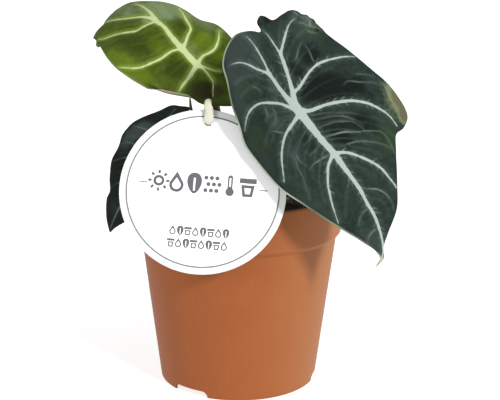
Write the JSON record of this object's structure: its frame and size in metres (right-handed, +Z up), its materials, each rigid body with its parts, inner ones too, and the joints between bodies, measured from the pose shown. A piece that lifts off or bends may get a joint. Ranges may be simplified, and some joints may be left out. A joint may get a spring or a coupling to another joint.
{
  "type": "potted velvet-leaved alocasia",
  "caption": "Velvet-leaved alocasia with pale-veined heart-shaped leaves on slender stalks, in a tapered terracotta-coloured plastic pot with a round care card on a cotton loop.",
  "frame": {"origin": "middle of the pot's foot, on the surface that the pot stands on", "axes": "+Z up along the pot's axis; -Y is the front, which the large leaf and the card face; +X is to the right seen from the front"},
  "size_m": [0.1743, 0.1345, 0.2168],
  "materials": {
    "pot_plastic": "satin",
    "potting_mix": "matte",
    "crown": "matte",
    "velvet_leaf": "matte",
    "young_leaf": "satin",
    "stalk": "satin",
    "sheath": "matte",
    "card": "matte",
    "cotton": "matte"
  },
  "bodies": {
    "root": {"pot": "pot_plastic", "potting_mix": "potting_mix", "crown": "crown", "front_leaf_blade": "velvet_leaf", "front_leaf_stalk": "stalk", "young_leaf_blade": "young_leaf", "young_leaf_stalk": "stalk", "rear_leaf_blade": "velvet_leaf", "rear_leaf_stalk": "stalk", "tall_sheath": "sheath", "short_sheath": "sheath", "care_card": "card", "card_loop": "cotton"}
  },
  "joints": []
}
